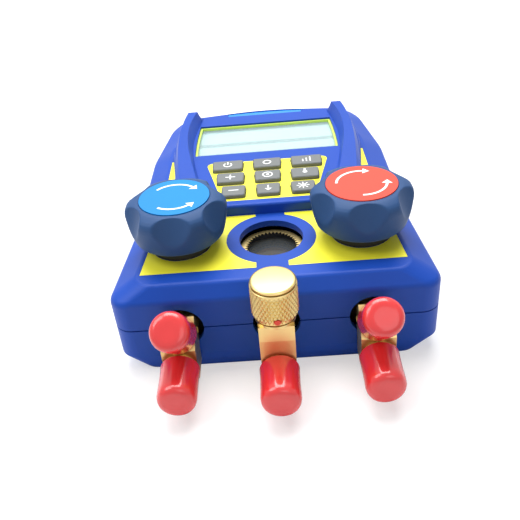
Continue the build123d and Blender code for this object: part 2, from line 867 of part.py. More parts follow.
def vinyl_cap(plane, gap):
    profile = [(0, 0), (vinyl_r, 0), (vinyl_r, vinyl_length), (0, vinyl_length)]
    cap = turned(profile)
    far = cap.edges().filter_by_position(Axis.Z, vinyl_length - 0.01, vinyl_length + 0.01)
    cap = fillet(far, vinyl_round)
    bore = Cylinder(flare_thread_r + vinyl_clearance, vinyl_length - vinyl_end,
                    align=(Align.CENTER, Align.CENTER, Align.MIN))
    return plane.offset(gap) * (cap - bore)


def access_cap():
    groove_low = knurl_height - knurl_groove_z
    profile = [
        (0, 0), (knurl_r - 0.4, 0), (knurl_r, 0.6), (knurl_r, groove_low - knurl_groove_width),
        (knurl_r - knurl_groove_depth, groove_low - knurl_groove_width / 2), (knurl_r, groove_low),
        (knurl_r, knurl_height - knurl_chamfer), (knurl_top_r, knurl_height), (0, knurl_height),
    ]
    cap = turned(profile)
    cap = cap - cylinder(flare_thread_r + fit_clearance, 0, knurl_height - knurl_top_thickness)
    return Pos(0, behind(centre_face_y) + bar / 2, knurl_top_z - knurl_height) * cap


def access_cap_seal():
    top = knurl_top_z - knurl_top_thickness
    return cylinder(flare_thread_r, top - cap_seal_thickness, top, 0, behind(centre_face_y) + bar / 2)


def valve_core():
    top = centre_top_z + upright_flare_length
    y = behind(centre_face_y) + bar / 2
    body = cylinder(core_r, top - 1 - core_length, top - 1, 0, y)
    return body - cylinder(core_pin_r + stem_clearance, 0, 100, 0, y)


def valve_core_pin():
    top = centre_top_z + upright_flare_length
    y = behind(centre_face_y) + bar / 2
    return cylinder(core_pin_r, top - 1 - core_pin_length - core_pin_travel, top - 0.5, 0, y)


outer = case_form(0)
shoulder_edges = outer.edges().filter_by_position(Axis.Z, shoulder_z - 0.01, shoulder_z + 0.01)
case_full = fillet(shoulder_edges, shoulder_round)
deck_edges = case_full.edges().filter_by_position(Axis.Z, deck_z - 0.01, deck_z + 0.01)
case_full = fillet(deck_edges, crease_round)
case_hollow = case_form(wall)
housing = prism(housing_outline(0), deck_z - wall, panel_z)
housing = fillet(housing.edges().filter_by_position(Axis.Z, panel_z - 0.01, panel_z + 0.01), housing_edge_round)
housing_hollow = prism(housing_outline(wall), deck_z - 2 * wall, panel_z - wall)

parts = {
    "lower_case": lower_case(),
    "upper_case": upper_case(),
    "left_deck_film": deck_film(-1),
    "right_deck_film": deck_film(1),
    "keypad_film": keypad_film(),
    "keypad_mat": keypad_mat(),
    "lcd_frame": lcd_frame(),
    "lcd_window": lcd_window(),
    "lcd_module": lcd_module(),
    "badge_plate": badge_plate(),
    "circuit_board": circuit_board(),
    "manifold_block": manifold_block(),
    "mount_screws": mount_screws(),
    "sight_ring": sight_ring(),
    "sight_lens": sight_lens(),
    "sight_gasket": sight_gasket(),
    "pressure_sensors": pressure_sensors(),
    "vacuum_sensor": vacuum_sensor(),
    "battery_door": battery_door(),
    "battery_cells": battery_cells(),
    "battery_contacts": battery_contacts(),
    "case_screws": case_screws(),
    "board_screws": board_screws(),
    "left_fitting": side_fitting(-side_port_x),
    "right_fitting": side_fitting(side_port_x),
    "centre_fitting": centre_fitting(),
    "access_cap": access_cap(),
    "access_cap_seal": access_cap_seal(),
    "valve_core": valve_core(),
    "valve_core_pin": valve_core_pin(),
}
for row in range(3):
    for column in range(3):
        parts[key_names[row][column]] = key(row, column)
for name, x in knob_places.items():
    parts[name + "_bonnet"] = valve_bonnet(x)
    parts[name + "_seat_disc"] = valve_seat_disc(x)
    parts[name + "_stem"] = valve_stem(x)
    parts[name + "_knob"] = valve_knob(x)
    parts[name + "_knob_screw"] = knob_screw(x)
    parts[name + "_label"] = knob_label(x)
for name, x in (("left", -side_port_x), ("right", side_port_x)):
    lower, upper = side_planes(x)
    parts[name + "_lower_cap"] = vinyl_cap(lower, side_lower_cap_gap)
    parts[name + "_upper_cap"] = vinyl_cap(upper, side_upper_cap_gap)
parts["centre_lower_cap"] = vinyl_cap(centre_planes()[0], centre_cap_gap)

os.makedirs("parts", exist_ok=True)
for name, solid in parts.items():
    export_step(solid, "parts/" + name + ".step")
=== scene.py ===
import bpy
import bmesh
import json
import math
from mathutils import Matrix, Vector


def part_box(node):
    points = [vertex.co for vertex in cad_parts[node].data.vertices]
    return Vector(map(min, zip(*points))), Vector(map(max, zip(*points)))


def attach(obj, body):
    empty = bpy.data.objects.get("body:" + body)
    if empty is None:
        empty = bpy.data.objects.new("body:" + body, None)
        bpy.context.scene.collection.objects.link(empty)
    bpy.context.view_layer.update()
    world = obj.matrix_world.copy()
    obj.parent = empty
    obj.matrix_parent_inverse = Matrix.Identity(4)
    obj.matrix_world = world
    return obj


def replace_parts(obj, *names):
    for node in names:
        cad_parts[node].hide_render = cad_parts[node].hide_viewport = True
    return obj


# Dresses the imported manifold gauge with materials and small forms. Metres, +Z up, ports to -Y.

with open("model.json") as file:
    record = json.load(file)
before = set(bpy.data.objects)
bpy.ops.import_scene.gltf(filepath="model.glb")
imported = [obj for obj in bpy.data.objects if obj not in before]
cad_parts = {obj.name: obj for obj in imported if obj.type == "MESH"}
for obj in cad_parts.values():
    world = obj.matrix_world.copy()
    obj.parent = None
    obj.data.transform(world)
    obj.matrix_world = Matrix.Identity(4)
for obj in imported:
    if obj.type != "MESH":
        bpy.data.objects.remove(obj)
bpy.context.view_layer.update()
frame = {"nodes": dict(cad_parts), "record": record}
nodes = frame["nodes"]
print("frame loaded:", len(nodes), "nodes")

scene = bpy.context.scene
scene.view_settings.view_transform = "Standard"


# Shader maths

surface = {"cloud": 40.0, "detail": 3.0, "sway": 0.12, "bump": 0.6, "clearCloud": 60.0, "clearLift": 1.06,
           "dull": 0.22}
mixSockets = {"factor": 0, "first": 6, "second": 7, "result": 2}


class Value:
    def __init__(self, tree, socket):
        self.tree = tree
        self.socket = socket

    def combine(self, operation, other):
        node = self.tree.nodes.new("ShaderNodeMath")
        node.operation = operation
        for slot, item in zip(node.inputs, (self, other)):
            if isinstance(item, Value):
                self.tree.links.new(item.socket, slot)
            else:
                slot.default_value = item
        return Value(self.tree, node.outputs[0])

    def __add__(self, other):
        return self.combine("ADD", other)

    def __mul__(self, other):
        return self.combine("MULTIPLY", other)


class Finish:
    def __init__(self, name):
        self.material = bpy.data.materials.new(name)
        self.material.use_nodes = True
        self.tree = self.material.node_tree
        self.shader = self.tree.nodes["Principled BSDF"]
        self.place = self.node("ShaderNodeTexCoord").outputs["Object"]

    def node(self, kind, settings=None, values=None):
        node = self.tree.nodes.new(kind)
        for key, value in (settings or {}).items():
            setattr(node, key, value)
        for key, value in (values or {}).items():
            if isinstance(value, Value):
                value = value.socket
            if isinstance(value, bpy.types.NodeSocket):
                self.tree.links.new(value, node.inputs[key])
            else:
                node.inputs[key].default_value = value
        return node

    def noise(self, scale):
        values = {"Vector": self.place, "Scale": scale, "Detail": surface["detail"]}
        node = self.node("ShaderNodeTexNoise", {}, values)
        return Value(self.tree, node.outputs[0])

    def tint(self, mask, first, second):
        node = self.node("ShaderNodeMix", {"data_type": "RGBA"})
        self.tree.links.new(mask.socket, node.inputs[mixSockets["factor"]])
        node.inputs[mixSockets["first"]].default_value = (*first, 1.0)
        node.inputs[mixSockets["second"]].default_value = (*second, 1.0)
        self.feed("Base Color", node.outputs[mixSockets["result"]])

    def feed(self, name, source):
        source = source.socket if isinstance(source, Value) else source
        self.tree.links.new(source, self.shader.inputs[name])

    def relief(self, height, depth):
        values = {"Height": height, "Distance": depth, "Strength": surface["bump"]}
        bump = self.node("ShaderNodeBump", {}, values)
        self.feed("Normal", bump.outputs[0])


def plainFinish(name, dark, light, roughness, grain, depth, metallic=0.0, coat=0.0):
    finish = Finish(name)
    cloud = finish.noise(surface["cloud"])
    fine = finish.noise(grain)
    finish.tint(cloud, dark, light)
    finish.feed("Roughness", cloud * surface["sway"] + (roughness - surface["sway"] / 2))
    finish.relief(fine, depth)
    finish.shader.inputs["Metallic"].default_value = metallic
    finish.shader.inputs["Coat Weight"].default_value = coat
    return finish.material


# name: (dark colour, light colour, roughness, grain, depth, metallic, coat)
finishes = {
    "case_blue": ((0.006, 0.054, 0.36), (0.010, 0.068, 0.43), 0.44, 1400.0, 0.00003, 0.0, 0.0),
    "film_yellow": ((0.94, 0.88, 0.040), (0.97, 0.92, 0.055), 0.36, 1500.0, 0.00001, 0.0, 0.08),
    "silicone_white": ((0.66, 0.67, 0.67), (0.75, 0.76, 0.76), 0.60, 900.0, 0.00003, 0.0, 0.0),
    "frame_lime": ((0.56, 0.76, 0.08), (0.64, 0.83, 0.12), 0.35, 900.0, 0.00001, 0.0, 0.2),
    "lcd_grey": ((0.60, 0.75, 0.74), (0.64, 0.78, 0.78), 0.60, 900.0, 0.000002, 0.0, 0.0),
    "badge_blue": ((0.010, 0.20, 0.66), (0.016, 0.26, 0.76), 0.40, 700.0, 0.00001, 0.0, 0.1),
    "board_green": ((0.02, 0.16, 0.05), (0.03, 0.22, 0.08), 0.40, 700.0, 0.00002, 0.0, 0.2),
    "brass": ((0.66, 0.49, 0.19), (0.76, 0.60, 0.27), 0.36, 1100.0, 0.00002, 1.0, 0.0),
    "screw_steel": ((0.52, 0.52, 0.54), (0.64, 0.64, 0.66), 0.32, 900.0, 0.00002, 1.0, 0.0),
    "seal_black": ((0.010, 0.010, 0.012), (0.022, 0.022, 0.025), 0.50, 900.0, 0.00003, 0.0, 0.0),
    "sensor_steel": ((0.5, 0.51, 0.53), (0.6, 0.61, 0.63), 0.30, 900.0, 0.00002, 1.0, 0.0),
    "cell_silver": ((0.4, 0.4, 0.42), (0.5, 0.5, 0.52), 0.30, 900.0, 0.00001, 0.4, 0.2),
    "ptfe_white": ((0.82, 0.82, 0.8), (0.9, 0.9, 0.88), 0.35, 900.0, 0.00001, 0.0, 0.0),
    "knob_navy": ((0.020, 0.062, 0.17), (0.028, 0.080, 0.21), 0.52, 1200.0, 0.00005, 0.0, 0.0),
    "label_blue": ((0.008, 0.20, 0.54), (0.012, 0.24, 0.60), 0.55, 900.0, 0.00001, 0.0, 0.0),
    "label_red": ((0.74, 0.070, 0.045), (0.80, 0.085, 0.055), 0.55, 900.0, 0.00001, 0.0, 0.0),
    "vinyl_red": ((0.66, 0.022, 0.026), (0.78, 0.036, 0.036), 0.22, 500.0, 0.00003, 0.0, 0.45),
    "key_grey": ((0.12, 0.13, 0.13), (0.16, 0.17, 0.17), 0.55, 1300.0, 0.00003, 0.0, 0.0),
}
materials = {}
for name, (dark, light, rough, grain, depth, metal, coat) in finishes.items():
    materials[name] = plainFinish(name, dark, light, rough, grain, depth, metal, coat)


def clearFinish(name, colour, alpha, roughness, coat):
    finish = Finish(name)
    lighter = tuple(min(1.0, part * surface["clearLift"]) for part in colour)
    finish.tint(finish.noise(surface["clearCloud"]), colour, lighter)
    finish.shader.inputs["Alpha"].default_value = alpha
    finish.shader.inputs["Roughness"].default_value = roughness
    finish.shader.inputs["Coat Weight"].default_value = coat
    return finish.material


materials["lcd_clear"] = clearFinish("lcd_clear", (0.66, 0.86, 0.88), 0.30, 0.24, 0.0)
materials["sight_clear"] = clearFinish("sight_clear", (0.10, 0.11, 0.115), 0.45, 0.06, 0.4)
materials["print_white"] = plainFinish(
    "print_white", (0.86, 0.88, 0.88), (0.95, 0.96, 0.96), 0.45, 900.0, 0.000005)

for name in ("case_blue", "knob_navy", "label_blue", "label_red"):
    shader = materials[name].node_tree.nodes["Principled BSDF"]
    shader.inputs["Specular IOR Level"].default_value = surface["dull"]

slots = {entry["node"]: entry["material_slot"] for entry in frame["record"]["subparts"]}
for name, node in nodes.items():
    node.data.materials.clear()
    node.data.materials.append(materials[slots[name]])
print("finishes set:", len(materials))


# Piece makers

def pieceFrom(name, mesh, finish, body):
    piece = bpy.data.objects.new(name, mesh)
    scene.collection.objects.link(piece)
    mesh.materials.clear()
    mesh.materials.append(materials[finish])
    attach(piece, body)
    return piece


def addPlate(bm, outline, place, thickness):
    low = [bm.verts.new(place @ Vector((x, y, 0.0))) for x, y in outline]
    high = [bm.verts.new(place @ Vector((x, y, thickness))) for x, y in outline]
    count = len(outline)
    bm.faces.new(list(reversed(low)))
    bm.faces.new(high)
    for i in range(count):
        j = (i + 1) % count
        bm.faces.new((low[i], low[j], high[j], high[i]))


def finishMesh(bm, name):
    bmesh.ops.remove_doubles(bm, verts=bm.verts, dist=1e-7)
    bmesh.ops.recalc_face_normals(bm, faces=bm.faces)
    mesh = bpy.data.meshes.new(name)
    bm.to_mesh(mesh)
    bm.free()
    return mesh


def bar(x1, y1, x2, y2, width):
    run = Vector((x2 - x1, y2 - y1)).normalized() * (width / 2)
    side = Vector((-run.y, run.x))
    a, b = Vector((x1, y1)), Vector((x2, y2))
    return [tuple(a - run - side), tuple(b + run - side), tuple(b + run + side), tuple(a - run + side)]


def around(radius, turn):
    return radius * math.cos(turn), radius * math.sin(turn)


def arc(radius, start, end, width, steps=18):
    turns = [math.radians(start + (end - start) * i / steps) for i in range(steps + 1)]
    outer = [around(radius + width / 2, t) for t in turns]
    inner = [around(radius - width / 2, t) for t in reversed(turns)]
    return outer + inner if end > start else list(reversed(outer + inner))


def disc(radius, steps=20):
    return [around(radius, 2 * math.pi * i / steps) for i in range(steps)]


# Printed outlines are drawn in millimetres and placed in metres
mm = 0.001


def printPlace(x, y, z):
    return Matrix.Translation((x, y, z)) @ Matrix.Diagonal((mm, mm, 1, 1))


# Key legends: plain signs in white print
legend = {"thickness": 0.00004, "width": 0.55, "lift": 0.00001}
w = legend["width"]
signs = {
    "key_power": [arc(1.7, 125, 415, w), bar(0, 0.5, 0, 2.3, w)],
    "key_zero": [arc(1.6, 0, 180, w), arc(1.6, 180, 360, w)],
    "key_unit": [bar(-1.6, -1.6, -1.6, 0, w), bar(0, -1.6, 0, 1.0, w), bar(1.6, -1.6, 1.6, 1.9, w)],
    "key_range_up": [bar(-1.8, 0, 1.8, 0, w), bar(0, 0.3, 0, 1.8, w), bar(0, -1.8, 0, -0.3, w)],
    "key_mode": [arc(2.0, 0, 180, w), arc(2.0, 180, 360, w), disc(0.7)],
    "key_temperature": [disc(1.0), bar(0, 1.1, 0, 2.3, 0.9)],
    "key_range_down": [bar(-1.8, 0, 1.8, 0, w)],
    "key_vacuum": [bar(0, 1.9, 0, -0.6, w), [(-1.5, -0.4), (0, -2.2), (1.5, -0.4)]],
    "key_lamp": [disc(1.1)] + [bar(*around(1.6, math.pi * k / 4), *around(2.4, math.pi * k / 4), 0.45)
                              for k in range(8)],
}
for key, outlines in signs.items():
    low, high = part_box(key)
    centre = (Vector(low) + Vector(high)) / 2
    bm = bmesh.new()
    place = printPlace(centre.x, centre.y, high[2] + legend["lift"])
    for outline in outlines:
        addPlate(bm, outline, place, legend["thickness"])
    pieceFrom("legend_" + key, finishMesh(bm, "legend_" + key), "print_white", key)
print("legends:", len(signs))


# Curved arrows on the two labels, each from one angle to another
labelMark = {"radius": 9.0, "width": 0.9, "head": 1.9, "point": 1.3, "thickness": 0.00004}
arrowSpans = {"low": ((140, 45), (235, 310)), "high": ((175, 80), (265, 350))}


def arrow(radius, start, end, width, head):
    t = math.radians(end)
    turn = 1 if end > start else -1
    along = Vector((-math.sin(t), math.cos(t))) * turn
    out = Vector((math.cos(t), math.sin(t)))
    tip = out * radius + along * head * labelMark["point"]
    triangle = [tuple(out * (radius - head)), tuple(tip), tuple(out * (radius + head))]
    return [arc(radius, start, end, width), triangle]


for side, spans in arrowSpans.items():
    low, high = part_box(side + "_label")
    centre = (Vector(low) + Vector(high)) / 2
    bm = bmesh.new()
    place = printPlace(centre.x, centre.y, high[2])
    for start, end in spans:
        for outline in arrow(labelMark["radius"], start, end, labelMark["width"], labelMark["head"]):
            addPlate(bm, outline, place, labelMark["thickness"])
    name = "marks_" + side
    pieceFrom(name, finishMesh(bm, name), "print_white", side + "_knob")
print("label marks:", len(arrowSpans))


# A turned form from (radius, height) pairs, or from a radius that changes with the angle

def turnedMesh(name, centre, rings, steps):
    bm = bmesh.new()
    rows = []
    for ring in rings:
        row = []
        for i in range(steps):
            t = 2 * math.pi * i / steps
            radius, z = ring(t) if callable(ring) else ring
            x, y = around(radius, t)
            row.append(bm.verts.new((centre.x + x, centre.y + y, z)))
        rows.append(row)
    for lower, upper in zip(rows, rows[1:]):
        for i in range(steps):
            j = (i + 1) % steps
            bm.faces.new((lower[i], lower[j], upper[j], upper[i]))
    bm.faces.new(list(reversed(rows[0])))
    bm.faces.new(rows[-1])
    return finishMesh(bm, name)


def smoothFaces(mesh, angle):
    mesh.polygons.foreach_set("use_smooth", [True] * len(mesh.polygons))
    mesh.set_sharp_from_angle(angle=math.radians(angle))


# Knobs: six scallops, deep at the crown and fading out above the lower rim
knobForm = {"scallops": 6, "cutter": 0.0130, "topDepth": 0.0044, "lowDepth": -0.0004, "blend": 0.0003,
            "soften": 4, "widest": 0.0187, "crown": 0.0137, "least": 0.0134, "layers": 3, "steps": 192,
            "sharp": 35}
knobProfile = [(0.0150, 0.0412), (0.0163, 0.0414), (0.0168, 0.0420), (0.0172, 0.0432), (0.0177, 0.0450),
               (0.0181, 0.0470), (0.0184, 0.0490), (0.0187, 0.0510), (0.0187, 0.0522), (0.0185, 0.0532),
               (0.0180, 0.0542), (0.0171, 0.0550), (0.0159, 0.0556), (0.0148, 0.0560), (0.0136, 0.0562),
               (0.0132, 0.0562), (0.01301, 0.0560), (0.0130, 0.0559)]
knobLow, knobHigh = knobProfile[2][1], knobProfile[-4][1]


def knobRing(radius, z):
    share = min(1.0, max(0.0, (z - knobLow) / (knobHigh - knobLow)))
    depth = knobForm["lowDepth"] + (knobForm["topDepth"] - knobForm["lowDepth"]) * share
    cutter = knobForm["cutter"]
    reach = knobForm["widest"] + cutter - depth

    def at(t):
        sector = 2 * math.pi / knobForm["scallops"]
        turn = (t + sector) % sector - sector / 2
        inside = cutter ** 2 - (reach * math.sin(turn)) ** 2
        if inside <= 0 or radius < knobForm["crown"]:
            return radius, z
        cut = reach * math.cos(turn) - math.sqrt(inside)
        mix = max(0.0, 1 - abs(radius - cut) / knobForm["blend"])
        softened = min(radius, cut) - mix * mix * knobForm["blend"] / knobForm["soften"]
        return max(knobForm["least"], softened), z
    return at


for side in ("low", "high"):
    low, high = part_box(side + "_knob")
    centre = (Vector(low) + Vector(high)) / 2
    rings = []
    for (r1, z1), (r2, z2) in zip(knobProfile, knobProfile[1:]):
        for k in range(knobForm["layers"]):
            radius = r1 + (r2 - r1) * k / knobForm["layers"]
            z = z1 + (z2 - z1) * k / knobForm["layers"]
            rings.append(knobRing(radius, z))
    rings.append(knobProfile[-1])
    mesh = turnedMesh("grip_" + side, centre, rings, knobForm["steps"])
    smoothFaces(mesh, knobForm["sharp"])
    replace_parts(pieceFrom("grip_" + side, mesh, "knob_navy", side + "_knob"), side + "_knob")
print("knobs: 2")


# Knurled cap: a turned body with a bore, and rows of small pyramids
knurl = {"columns": 34, "rows": 8, "root": 0.00745, "rise": 0.00055, "bottomGap": 0.0007, "topGap": 0.0022,
         "sides": 4}
capForm = {"bore": 0.00561, "boreRoof": 0.0018, "steps": 96, "sharp": 30}
low, high = (Vector(corner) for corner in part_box("access_cap"))
centre = (low + high) / 2
top, root, full = high.z, knurl["root"], (high.x - low.x) / 2
capRings = [(capForm["bore"], top - capForm["boreRoof"]), (capForm["bore"], low.z), (full - 0.0009, low.z),
            (root, low.z + 0.0006), (root, top - 0.0024), (full - 0.0003, top - 0.0023),
            (full - 0.0001, top - 0.0021), (full - 0.0001, top - 0.0018), (full - 0.0003, top - 0.0016),
            (full - 0.0013, top - 0.0016), (full - 0.0013, top - 0.0012), (full - 0.0005, top - 0.0012),
            (full - 0.0004, top - 0.0010), (full - 0.0004, top - 0.0006), (full - 0.0006, top - 0.0003),
            (full - 0.0010, top - 0.0001), (full - 0.0015, top - 0.00002), (0.0001, top)]
capMesh = turnedMesh("capBody", centre, capRings, capForm["steps"])
smoothFaces(capMesh, capForm["sharp"])
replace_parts(pieceFrom("capBody", capMesh, "brass", "access_cap"), "access_cap")


def knurlTree():
    tree = bpy.data.node_groups.new("capKnurl", "GeometryNodeTree")
    sockets = {}
    for label, kind, value in (("Columns", "NodeSocketInt", knurl["columns"]),
                               ("Rows", "NodeSocketInt", knurl["rows"]),
                               ("Radius", "NodeSocketFloat", root),
                               ("Rise", "NodeSocketFloat", knurl["rise"]),
                               ("Pitch", "NodeSocketFloat", 0.001),
                               ("Bottom", "NodeSocketFloat", 0.0),
                               ("Centre", "NodeSocketVector", (0, 0, 0)),
                               ("Finish", "NodeSocketMaterial", None)):
        socket = tree.interface.new_socket(label, in_out="INPUT", socket_type=kind)
        sockets[label] = socket.identifier
        if value is not None:
            socket.default_value = value
    tree.interface.new_socket("Geometry", in_out="OUTPUT", socket_type="NodeSocketGeometry")
    inputs = tree.nodes.new("NodeGroupInput").outputs
    out = tree.nodes.new("NodeGroupOutput")

    def calc(operation, a, b=None):
        node = tree.nodes.new("ShaderNodeMath")
        node.operation = operation
        for slot, item in zip(node.inputs, (a, b)):
            if isinstance(item, bpy.types.NodeSocket):
                tree.links.new(item, slot)
            elif item is not None:
                slot.default_value = item
        return node.outputs[0]

    index = tree.nodes.new("GeometryNodeInputIndex").outputs[0]
    column = calc("MODULO", index, inputs["Columns"])
    row = calc("FLOOR", calc("DIVIDE", calc("ADD", index, 0.5), inputs["Columns"]))
    shift = calc("MULTIPLY", calc("MODULO", row, 2.0), 0.5)
    angle = calc("DIVIDE", calc("MULTIPLY", calc("ADD", column, shift), 2 * math.pi), inputs["Columns"])
    spot = tree.nodes.new("ShaderNodeCombineXYZ")
    tree.links.new(calc("MULTIPLY", calc("COSINE", angle), inputs["Radius"]), spot.inputs[0])
    tree.links.new(calc("MULTIPLY", calc("SINE", angle), inputs["Radius"]), spot.inputs[1])
    tree.links.new(calc("ADD", calc("MULTIPLY", row, inputs["Pitch"]), inputs["Bottom"]), spot.inputs[2])
    shifted = tree.nodes.new("ShaderNodeVectorMath")
    tree.links.new(spot.outputs[0], shifted.inputs[0])
    tree.links.new(inputs["Centre"], shifted.inputs[1])
    line = tree.nodes.new("GeometryNodeMeshLine")
    tree.links.new(calc("MULTIPLY", inputs["Columns"], inputs["Rows"]), line.inputs["Count"])
    place = tree.nodes.new("GeometryNodeSetPosition")
    tree.links.new(line.outputs[0], place.inputs["Geometry"])
    tree.links.new(shifted.outputs[0], place.inputs["Position"])
    cone = tree.nodes.new("GeometryNodeMeshCone")
    cone.inputs["Vertices"].default_value = knurl["sides"]
    halfColumn = calc("DIVIDE", calc("MULTIPLY", inputs["Radius"], math.pi), inputs["Columns"])
    tree.links.new(halfColumn, cone.inputs["Radius Bottom"])
    stretch = tree.nodes.new("ShaderNodeCombineXYZ")
    tree.links.new(calc("DIVIDE", inputs["Pitch"], halfColumn), stretch.inputs[0])
    stretch.inputs[1].default_value = 1.0
    stretch.inputs[2].default_value = 1.0
    tree.links.new(inputs["Rise"], cone.inputs["Depth"])
    turn = tree.nodes.new("ShaderNodeCombineXYZ")
    turn.inputs[1].default_value = math.pi / 2
    tree.links.new(angle, turn.inputs[2])
    copies = tree.nodes.new("GeometryNodeInstanceOnPoints")
    tree.links.new(place.outputs[0], copies.inputs["Points"])
    tree.links.new(cone.outputs[0], copies.inputs["Instance"])
    tree.links.new(turn.outputs[0], copies.inputs["Rotation"])
    tree.links.new(stretch.outputs[0], copies.inputs["Scale"])
    real = tree.nodes.new("GeometryNodeRealizeInstances")
    finish = tree.nodes.new("GeometryNodeSetMaterial")
    tree.links.new(copies.outputs[0], real.inputs[0])
    tree.links.new(real.outputs[0], finish.inputs["Geometry"])
    tree.links.new(inputs["Finish"], finish.inputs["Material"])
    tree.links.new(finish.outputs[0], out.inputs[0])
    return tree, sockets


tree, sockets = knurlTree()
carrier = bpy.data.objects.new("knurlCarrier", bpy.data.meshes.new("knurlCarrier"))
scene.collection.objects.link(carrier)
modifier = carrier.modifiers.new("knurl", "NODES")
modifier.node_group = tree
band = top - knurl["topGap"] - low.z - knurl["bottomGap"]
pitch = band / (knurl["rows"] + 1)
settings = {"Columns": knurl["columns"], "Rows": knurl["rows"], "Radius": root, "Rise": knurl["rise"],
            "Pitch": pitch, "Bottom": low.z + knurl["bottomGap"] + pitch,
            "Centre": (centre.x, centre.y, 0.0), "Finish": materials["brass"]}
for label, value in settings.items():
    modifier[sockets[label]] = value
bpy.context.view_layer.update()
knurlMesh = bpy.data.meshes.new_from_object(carrier.evaluated_get(bpy.context.evaluated_depsgraph_get()))
carrier.modifiers.remove(modifier)
bpy.data.objects.remove(carrier)
print("knurl pyramids:", len(knurlMesh.polygons))
pieceFrom("cap_knurl", knurlMesh, "brass", "access_cap")

# A red spot that follows the cap's side
mark = {"x": 0.0006, "height": 0.0016, "width": 0.0022, "lift": 0.00012, "middle": 0.0021,
        "parts": 8, "least": 0.0001, "inset": 0.0003}
bm = bmesh.new()
columns = []
for i in range(mark["parts"] + 1):
    t = -math.pi / 2 + (mark["x"] + mark["width"] * (i / mark["parts"] - 0.5)) / full
    reach = full + mark["lift"]
    edge = math.sqrt(max(0.0, 1 - (2 * i / mark["parts"] - 1) ** 2)) * mark["height"] / 2 + mark["least"]
    middle = low.z + mark["middle"]
    column = []
    for radius in (reach, full - mark["inset"]):
        x, y = around(radius, t)
        for z in (middle - edge, middle + edge):
            column.append(bm.verts.new((centre.x + x, centre.y + y, z)))
    columns.append(column)
for a, b in zip(columns, columns[1:]):
    bm.faces.new((a[0], b[0], b[1], a[1]))
    bm.faces.new((a[2], a[3], b[3], b[2]))
    bm.faces.new((a[0], a[2], b[2], b[0]))
    bm.faces.new((a[1], b[1], b[3], a[3]))
for column in (columns[0], columns[-1]):
    bm.faces.new((column[0], column[1], column[3], column[2]))
pieceFrom("cap_mark", finishMesh(bm, "cap_mark"), "label_red", "access_cap")


# Sight ring: a toothed brass plate over a black ring that paints the shade of the wider bore
sight = {"teeth": 42, "root": 0.0107, "tip": 0.0092, "outer": 0.0120, "plate": 0.0003, "bore": 0.0110,
         "boreSteps": 96}
toothShape = (0.0, 0.5, 1.0, 0.5)
low, high = (Vector(corner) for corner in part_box("sight_ring"))
centre = (low + high) / 2


def ringSolid(name, inner, bottom, top, finish):
    bm = bmesh.new()
    count = len(inner)
    loops = []
    for z in (bottom, top):
        edge = [bm.verts.new((centre.x + x, centre.y + y, z)) for x, y in inner]
        rim = []
        for i in range(count):
            x, y = around(sight["outer"], 2 * math.pi * i / count)
            rim.append(bm.verts.new((centre.x + x, centre.y + y, z)))
        loops.append((edge, rim))
    (lowEdge, lowRim), (topEdge, topRim) = loops
    for i in range(count):
        j = (i + 1) % count
        bm.faces.new((topEdge[i], topRim[i], topRim[j], topEdge[j]))
        bm.faces.new((lowEdge[j], lowRim[j], lowRim[i], lowEdge[i]))
        bm.faces.new((lowEdge[i], topEdge[i], topEdge[j], lowEdge[j]))
        bm.faces.new((lowRim[j], topRim[j], topRim[i], lowRim[i]))
    return pieceFrom(name, finishMesh(bm, name), finish, "case")


toothed = []
count = sight["teeth"] * len(toothShape)
for i in range(count):
    share = toothShape[i % len(toothShape)]
    toothed.append(around(sight["root"] + (sight["tip"] - sight["root"]) * share, 2 * math.pi * i / count))
plate = ringSolid("sightTeeth", toothed, high.z - sight["plate"], high.z, "brass")
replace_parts(plate, "sight_ring")
# The black ring below the teeth is painted shade, so the gaps between the teeth read dark
bore = disc(sight["bore"], sight["boreSteps"])
ringSolid("sightBoreShade", bore, low.z, high.z - sight["plate"], "seal_black")
print("sight teeth:", sight["teeth"])


# Vinyl caps: dip-moulded sleeves with a soft domed end
vinyl = {"length": 0.016, "squash": 0.012, "steps": 72, "bore": 0.00561, "boreDepth": 0.0142, "boreTip": 0.02,
         "firmRows": 4, "sharp": 40}
vinylProfile = [(0.00695, 0.0), (0.00690, 0.0006), (0.00682, 0.0030), (0.00678, 0.0060), (0.00682, 0.0090),
                (0.00688, 0.0115), (0.00686, 0.0130), (0.00668, 0.0141), (0.00625, 0.0150), (0.00550, 0.0156),
                (0.00440, 0.01592), (0.00300, 0.0160), (0.00150, 0.01596), (0.00010, 0.01594)]
vinylOutline = [(vinyl["bore"] * vinyl["boreTip"], vinyl["boreDepth"]), (vinyl["bore"], vinyl["boreDepth"]),
                (vinyl["bore"], 0.0)] + vinylProfile
slope = math.sqrt(0.5)
vinylCaps = {}
for name in ("left_lower_cap", "right_lower_cap", "centre_lower_cap"):
    low, high = (Vector(corner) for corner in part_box(name))
    vinylCaps[name] = (Vector(((low.x + high.x) / 2, high.y, (low.z + high.z) / 2)), Vector((0, -1, 0)))
for name in ("left_upper_cap", "right_upper_cap"):
    low, high = (Vector(corner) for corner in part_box(name))
    axis = Vector((0, -slope, slope))
    middle = (low + high) / 2
    vinylCaps[name] = (middle - axis * (vinyl["length"] / 2), axis)
